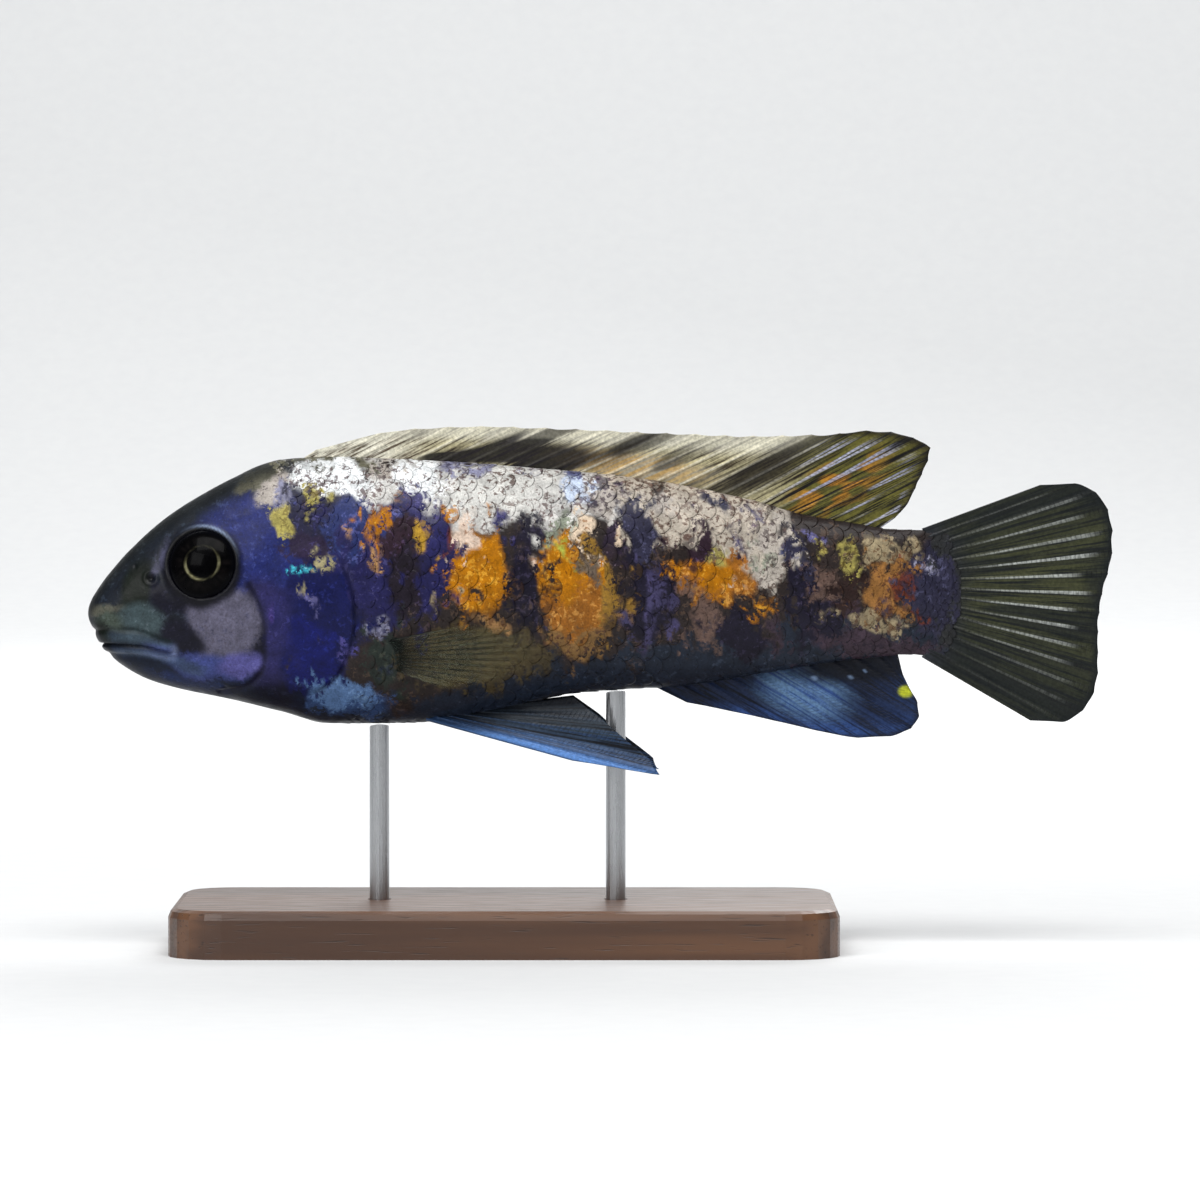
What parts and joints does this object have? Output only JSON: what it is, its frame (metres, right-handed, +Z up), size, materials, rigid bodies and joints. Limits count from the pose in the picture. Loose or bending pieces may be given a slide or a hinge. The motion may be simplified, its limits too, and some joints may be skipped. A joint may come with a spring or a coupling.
{
  "type": "marbled cichlid on a display stand",
  "caption": "Still, life-size model of a marbled rock-dwelling cichlid, swimming level, with separate head, jaw, gill covers, eyes, trunk, tail stem and fins, on a flat stand with rods.",
  "frame": {"origin": "on the surface that the stand rests on, under the middle of the whole model's box", "axes": "+X along the fish towards its tail, +Y towards its right side, +Z up"},
  "size_m": [0.13, 0.042, 0.0661],
  "materials": {
    "head_skin": "wet satin skin, slate blue",
    "jaw_skin": "wet satin skin, pale blue lips",
    "gill_cover_skin": "wet satin skin, deep violet blue",
    "eye": "clear gloss over a black iris",
    "flank_skin": "small wet scales, marbled white, orange, indigo and brown-black",
    "tail_stem_skin": "small wet scales, dark brown to indigo",
    "dorsal_fin": "satin membrane, cream, olive and black",
    "blue_fin": "satin membrane, steel blue to navy",
    "pectoral_fin": "thin, nearly clear olive membrane",
    "tail_fin": "satin membrane, dark olive slate with pale rays",
    "stand_wood": "dark oiled hardwood",
    "stand_steel": "brushed"
  },
  "bodies": {
    "root": {"fish_head": "head_skin", "fish_lower_jaw": "jaw_skin", "fish_gill_cover_left": "gill_cover_skin", "fish_gill_cover_right": "gill_cover_skin", "fish_eye_left": "eye", "fish_eye_right": "eye", "fish_trunk": "flank_skin", "fish_tail_stem": "tail_stem_skin", "fish_dorsal_fin": "dorsal_fin", "fish_anal_fin": "blue_fin", "fish_tail_fin": "tail_fin", "fish_pectoral_fin_left": "pectoral_fin", "fish_pectoral_fin_right": "pectoral_fin", "fish_pelvic_fin_left": "blue_fin", "fish_pelvic_fin_right": "blue_fin", "stand_base": "stand_wood", "stand_rod_front": "stand_steel", "stand_rod_rear": "stand_steel"}
  },
  "joints": []
}
